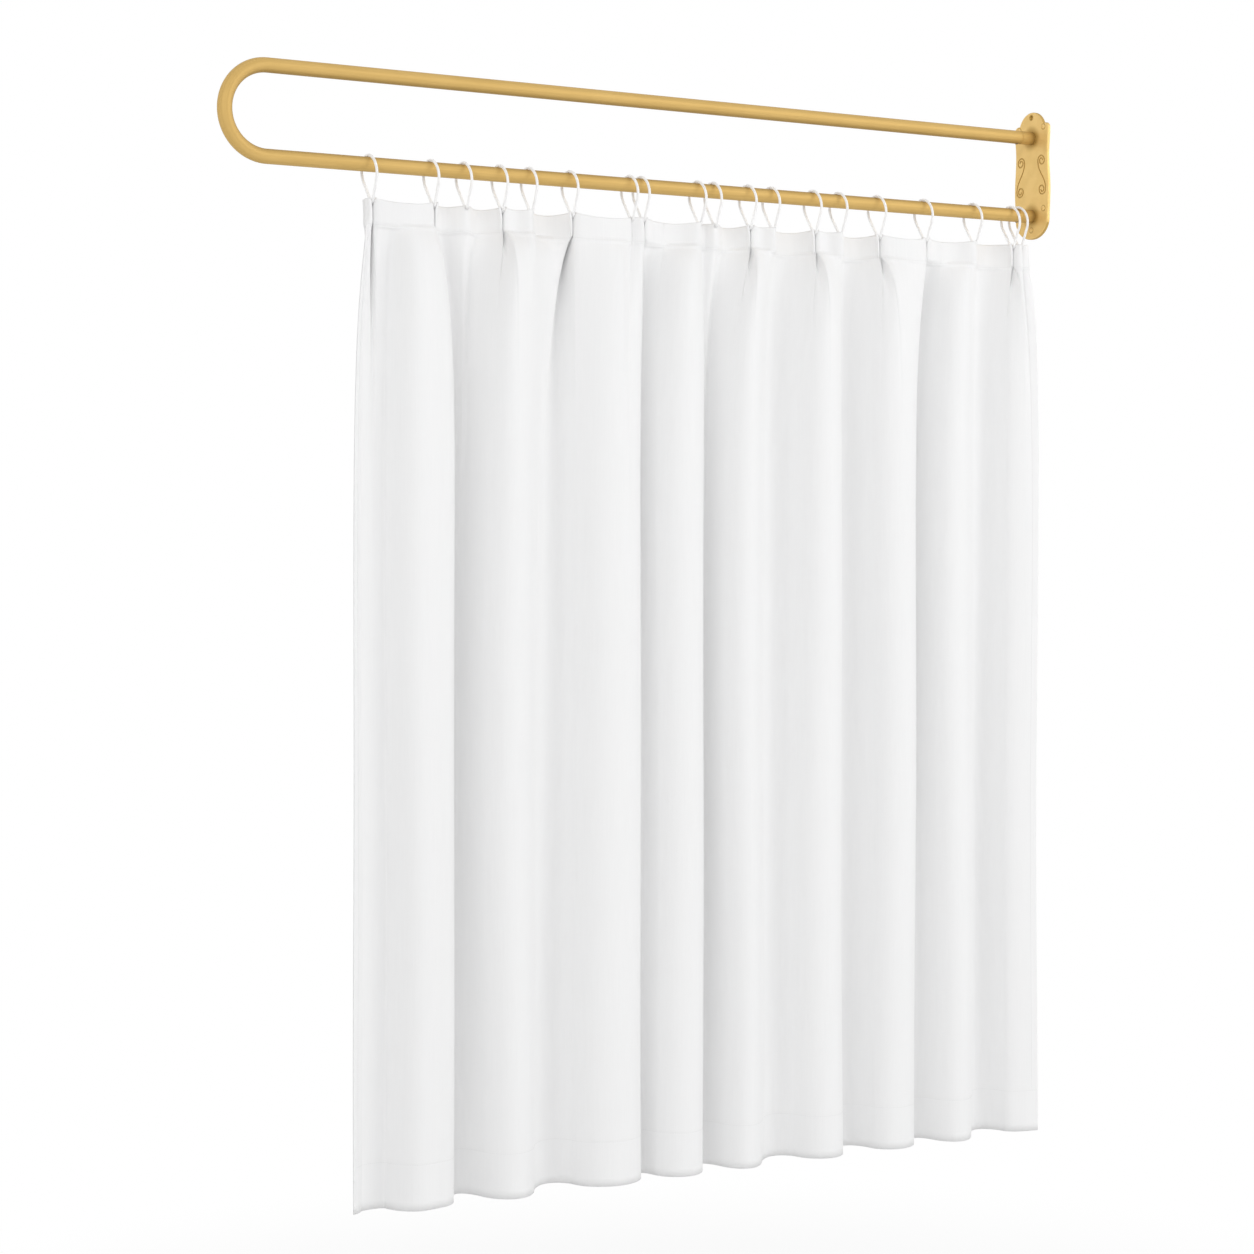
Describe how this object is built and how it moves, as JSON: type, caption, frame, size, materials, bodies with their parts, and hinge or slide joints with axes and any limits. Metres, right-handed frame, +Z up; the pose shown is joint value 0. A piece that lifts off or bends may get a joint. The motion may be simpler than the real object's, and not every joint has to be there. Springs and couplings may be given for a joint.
{
  "type": "wall-mounted curtain rail",
  "caption": "U-bent gold tube rail standing out from an arched scroll-engraved wall plate, with pear-shaped rings on its lower leg and a pleated white curtain that draws towards the wall.",
  "frame": {"origin": "on the wall plane, at the middle of the wall plate's back between the two legs", "axes": "+X into the wall, so the rail runs out along -X; +Z up; -Y is the side the picture shows"},
  "size_m": [1.7, 0.1077, 1.951],
  "materials": {
    "tube_gold": "satin",
    "plate_gold": "satin",
    "bare_steel": "satin",
    "dark_steel": "satin",
    "ring_white": "satin",
    "curtain_cloth": "matte"
  },
  "bodies": {
    "rail_and_curtain": {"wall_plate": "plate_gold", "upper_collar": "tube_gold", "lower_collar": "tube_gold", "upper_spigot": "bare_steel", "lower_spigot": "bare_steel", "spigot_screws": "bare_steel", "u_rod": "tube_gold", "grub_screws": "dark_steel", "header_band": "curtain_cloth", "curtain_panel": "curtain_cloth", "hem_band": "curtain_cloth"},
    "ring_01": {"curtain_ring_01": "ring_white"},
    "ring_02": {"curtain_ring_02": "ring_white"},
    "ring_03": {"curtain_ring_03": "ring_white"},
    "ring_04": {"curtain_ring_04": "ring_white"},
    "ring_05": {"curtain_ring_05": "ring_white"},
    "ring_06": {"curtain_ring_06": "ring_white"},
    "ring_07": {"curtain_ring_07": "ring_white"},
    "ring_08": {"curtain_ring_08": "ring_white"},
    "ring_09": {"curtain_ring_09": "ring_white"},
    "ring_10": {"curtain_ring_10": "ring_white"},
    "ring_11": {"curtain_ring_11": "ring_white"},
    "ring_12": {"curtain_ring_12": "ring_white"},
    "ring_13": {"curtain_ring_13": "ring_white"},
    "ring_14": {"curtain_ring_14": "ring_white"},
    "ring_15": {"curtain_ring_15": "ring_white"},
    "ring_16": {"curtain_ring_16": "ring_white"},
    "ring_17": {"curtain_ring_17": "ring_white"},
    "ring_18": {"curtain_ring_18": "ring_white"},
    "ring_19": {"curtain_ring_19": "ring_white"}
  },
  "joints": [
    {"name": "curtain_draw", "type": "slide", "parent": "rail_and_curtain", "child": "ring_01", "axis": [1, 0, 0], "range_m": [0, 0.9856], "deforming": ["header_band", "curtain_panel", "hem_band"]},
    {"name": "ring_02_slide", "type": "slide", "parent": "rail_and_curtain", "child": "ring_02", "axis": [1, 0, 0], "range_m": [0, 0.9039]},
    {"name": "ring_03_slide", "type": "slide", "parent": "rail_and_curtain", "child": "ring_03", "axis": [1, 0, 0], "range_m": [0, 0.8598]},
    {"name": "ring_04_slide", "type": "slide", "parent": "rail_and_curtain", "child": "ring_04", "axis": [1, 0, 0], "range_m": [0, 0.8108]},
    {"name": "ring_05_slide", "type": "slide", "parent": "rail_and_curtain", "child": "ring_05", "axis": [1, 0, 0], "range_m": [0, 0.7702]},
    {"name": "ring_06_slide", "type": "slide", "parent": "rail_and_curtain", "child": "ring_06", "axis": [1, 0, 0], "range_m": [0, 0.7128]},
    {"name": "ring_07_slide", "type": "slide", "parent": "rail_and_curtain", "child": "ring_07", "axis": [1, 0, 0], "range_m": [0, 0.6274]},
    {"name": "ring_08_slide", "type": "slide", "parent": "rail_and_curtain", "child": "ring_08", "axis": [1, 0, 0], "range_m": [0, 0.6106]},
    {"name": "ring_09_slide", "type": "slide", "parent": "rail_and_curtain", "child": "ring_09", "axis": [1, 0, 0], "range_m": [0, 0.5273]},
    {"name": "ring_10_slide", "type": "slide", "parent": "rail_and_curtain", "child": "ring_10", "axis": [1, 0, 0], "range_m": [0, 0.5042]},
    {"name": "ring_11_slide", "type": "slide", "parent": "rail_and_curtain", "child": "ring_11", "axis": [1, 0, 0], "range_m": [0, 0.4517]},
    {"name": "ring_12_slide", "type": "slide", "parent": "rail_and_curtain", "child": "ring_12", "axis": [1, 0, 0], "range_m": [0, 0.416]},
    {"name": "ring_13_slide", "type": "slide", "parent": "rail_and_curtain", "child": "ring_13", "axis": [1, 0, 0], "range_m": [0, 0.3516]},
    {"name": "ring_14_slide", "type": "slide", "parent": "rail_and_curtain", "child": "ring_14", "axis": [1, 0, 0], "range_m": [0, 0.311]},
    {"name": "ring_15_slide", "type": "slide", "parent": "rail_and_curtain", "child": "ring_15", "axis": [1, 0, 0], "range_m": [0, 0.2494]},
    {"name": "ring_16_slide", "type": "slide", "parent": "rail_and_curtain", "child": "ring_16", "axis": [1, 0, 0], "range_m": [0, 0.1738]},
    {"name": "ring_17_slide", "type": "slide", "parent": "rail_and_curtain", "child": "ring_17", "axis": [1, 0, 0], "range_m": [0, 0.0919]},
    {"name": "ring_18_slide", "type": "slide", "parent": "rail_and_curtain", "child": "ring_18", "axis": [1, 0, 0], "range_m": [0, 0.0282]},
    {"name": "ring_19_slide", "type": "slide", "parent": "rail_and_curtain", "child": "ring_19", "axis": [1, 0, 0], "range_m": [0, 0.0149]}
  ],
  "couplings": [
    {"joint": "ring_02_slide", "follows": "curtain_draw", "ratio": 0.9169},
    {"joint": "ring_03_slide", "follows": "curtain_draw", "ratio": 0.87216},
    {"joint": "ring_04_slide", "follows": "curtain_draw", "ratio": 0.82244},
    {"joint": "ring_05_slide", "follows": "curtain_draw", "ratio": 0.78125},
    {"joint": "ring_06_slide", "follows": "curtain_draw", "ratio": 0.72301},
    {"joint": "ring_07_slide", "follows": "curtain_draw", "ratio": 0.63636},
    {"joint": "ring_08_slide", "follows": "curtain_draw", "ratio": 0.61932},
    {"joint": "ring_09_slide", "follows": "curtain_draw", "ratio": 0.5348},
    {"joint": "ring_10_slide", "follows": "curtain_draw", "ratio": 0.51136},
    {"joint": "ring_11_slide", "follows": "curtain_draw", "ratio": 0.4581},
    {"joint": "ring_12_slide", "follows": "curtain_draw", "ratio": 0.42188},
    {"joint": "ring_13_slide", "follows": "curtain_draw", "ratio": 0.35653},
    {"joint": "ring_14_slide", "follows": "curtain_draw", "ratio": 0.31534},
    {"joint": "ring_15_slide", "follows": "curtain_draw", "ratio": 0.25284},
    {"joint": "ring_16_slide", "follows": "curtain_draw", "ratio": 0.17614},
    {"joint": "ring_17_slide", "follows": "curtain_draw", "ratio": 0.09304},
    {"joint": "ring_18_slide", "follows": "curtain_draw", "ratio": 0.028409},
    {"joint": "ring_19_slide", "follows": "curtain_draw", "ratio": 0.014915}
  ]
}
